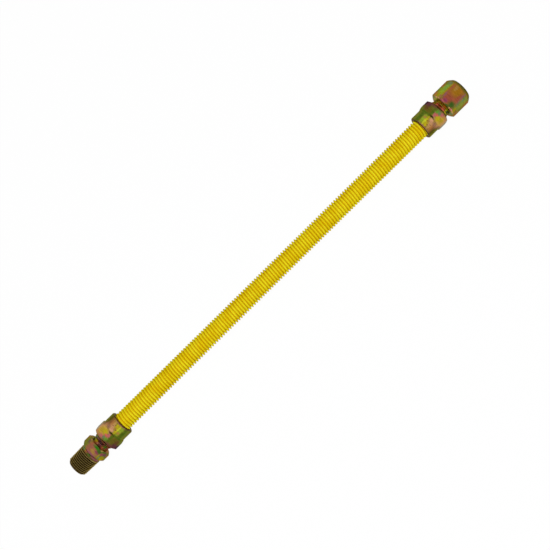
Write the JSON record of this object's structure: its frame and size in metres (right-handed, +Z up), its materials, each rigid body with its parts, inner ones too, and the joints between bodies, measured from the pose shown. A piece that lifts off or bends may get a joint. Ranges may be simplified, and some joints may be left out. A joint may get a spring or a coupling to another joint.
{
  "type": "corrugated stainless steel hose",
  "caption": "Short corrugated metal gas hose with a yellow coating, a flare nut at each end, a male taper pipe thread fitting and a female one.",
  "frame": {"origin": "centre of the bounding box's bottom, on the ground below the middle of the lying hose", "axes": "+X along the hose from the male pipe thread to the female one, +Z up, +Y to the side"},
  "size_m": [0.51, 0.0296, 0.0288],
  "materials": {
    "hose_coating": "glossy yellow coating on corrugated stainless steel",
    "nut_plating": "iridescent yellow chromate on zinc plated steel, golden with pink and green",
    "male_fitting_plating": "iridescent chromate on zinc plated steel, dark olive brown",
    "female_fitting_plating": "iridescent chromate on zinc plated steel, bronze with magenta and green"
  },
  "bodies": {
    "hose": {"corrugated_hose": "hose_coating"},
    "male_nut": {"male_end_nut": "nut_plating"},
    "female_nut": {"female_end_nut": "nut_plating"},
    "male_fitting": {"male_adapter": "male_fitting_plating"},
    "female_fitting": {"female_adapter": "female_fitting_plating"}
  },
  "joints": [
    {"name": "male_nut_turn", "type": "hinge", "parent": "hose", "child": "male_nut", "pos_m": [-0.205, 0, 0.01441], "axis": [1, 0, 0], "range_deg": [0, 2160]},
    {"name": "female_nut_turn", "type": "hinge", "parent": "hose", "child": "female_nut", "pos_m": [0.214, 0, 0.01441], "axis": [-1, 0, 0], "range_deg": [0, 2160]},
    {"name": "male_fitting_travel", "type": "slide", "parent": "hose", "child": "male_fitting", "axis": [-1, 0, 0], "range_m": [0, 0.00953]},
    {"name": "female_fitting_travel", "type": "slide", "parent": "hose", "child": "female_fitting", "axis": [1, 0, 0], "range_m": [0, 0.00953]}
  ],
  "couplings": [
    {"joint": "male_fitting_travel", "follows": "male_nut_turn", "m_per_rad": 0.00025266},
    {"joint": "female_fitting_travel", "follows": "female_nut_turn", "m_per_rad": 0.00025266}
  ]
}
